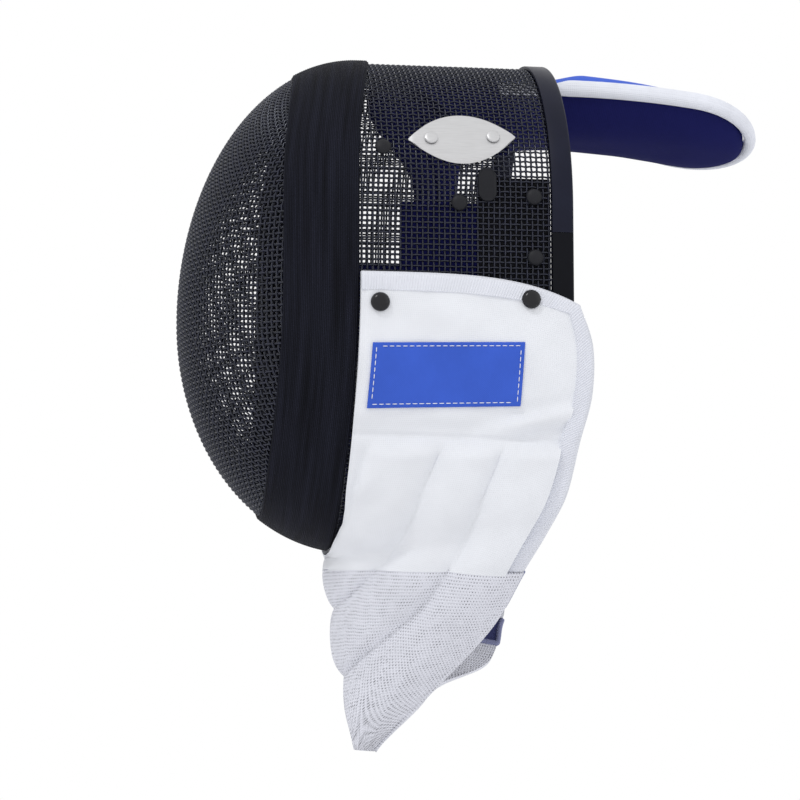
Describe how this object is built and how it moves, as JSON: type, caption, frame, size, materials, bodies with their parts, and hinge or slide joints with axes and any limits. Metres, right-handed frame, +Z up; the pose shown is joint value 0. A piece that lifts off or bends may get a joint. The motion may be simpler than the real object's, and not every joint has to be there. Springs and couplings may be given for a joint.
{
  "type": "fencing mask",
  "caption": "Fencing mask with woven wire face and crown, seam band, rear trim, padded quilted bib, inner pads, back strap and padded tongue.",
  "frame": {"origin": "where the top of the head meets the underside of the crown pad, on the middle plane", "axes": "+Z up, -X the way the face looks, +X towards the back of the head and the tongue, -Y the wearer's left, the side that the picture shows"},
  "size_m": [0.3605, 0.2338, 0.4202],
  "materials": {
    "face_mesh": "black coated woven steel wire",
    "crown_mesh": "black coated woven steel wire",
    "seam_band": "black ribbed elastic",
    "trim_grey": "satin dark grey",
    "trim_black": "satin black",
    "bib_cloth": "white woven cloth, quilted",
    "lame_cloth": "silver knitted conductive cloth",
    "bib_tape": "white ribbed tape",
    "patch_cloth": "blue woven patch",
    "plate_metal": "satin",
    "black_heads": "black domed heads",
    "pad_cloth": "navy brushed knit",
    "strap_cloth": "black webbing",
    "tongue_cloth": "blue knit",
    "tongue_lining": "navy knit over foam",
    "piping": "white knitted piping"
  },
  "bodies": {
    "root": {"face_mesh": "face_mesh", "crown_mesh": "crown_mesh", "seam_band": "seam_band", "rim_trim": "trim_grey", "rim_lower": "trim_black", "bib": "bib_cloth", "bib_lame": "lame_cloth", "bib_binding_left": "bib_tape", "bib_binding_right": "bib_tape", "label_patch": "patch_cloth", "badge_plate": "plate_metal", "plate_rivet_1": "plate_metal", "plate_rivet_2": "plate_metal", "size_tab": "black_heads", "mesh_rivet_left_1": "black_heads", "mesh_rivet_left_2": "black_heads", "mesh_rivet_left_3": "black_heads", "mesh_rivet_left_4": "black_heads", "mesh_rivet_right_1": "black_heads", "mesh_rivet_right_2": "black_heads", "mesh_rivet_right_3": "black_heads", "mesh_rivet_right_4": "black_heads", "bib_stud_left_1": "black_heads", "bib_stud_left_2": "black_heads", "bib_stud_right_1": "black_heads", "bib_stud_right_2": "black_heads", "crown_pad": "pad_cloth", "side_pad_left": "pad_cloth", "side_pad_right": "pad_cloth", "strap_anchor_left": "strap_cloth", "strap_anchor_right": "strap_cloth", "back_strap": "strap_cloth", "tongue_cover": "tongue_cloth", "tongue_lining": "tongue_lining", "tongue_piping": "piping"}
  },
  "joints": []
}
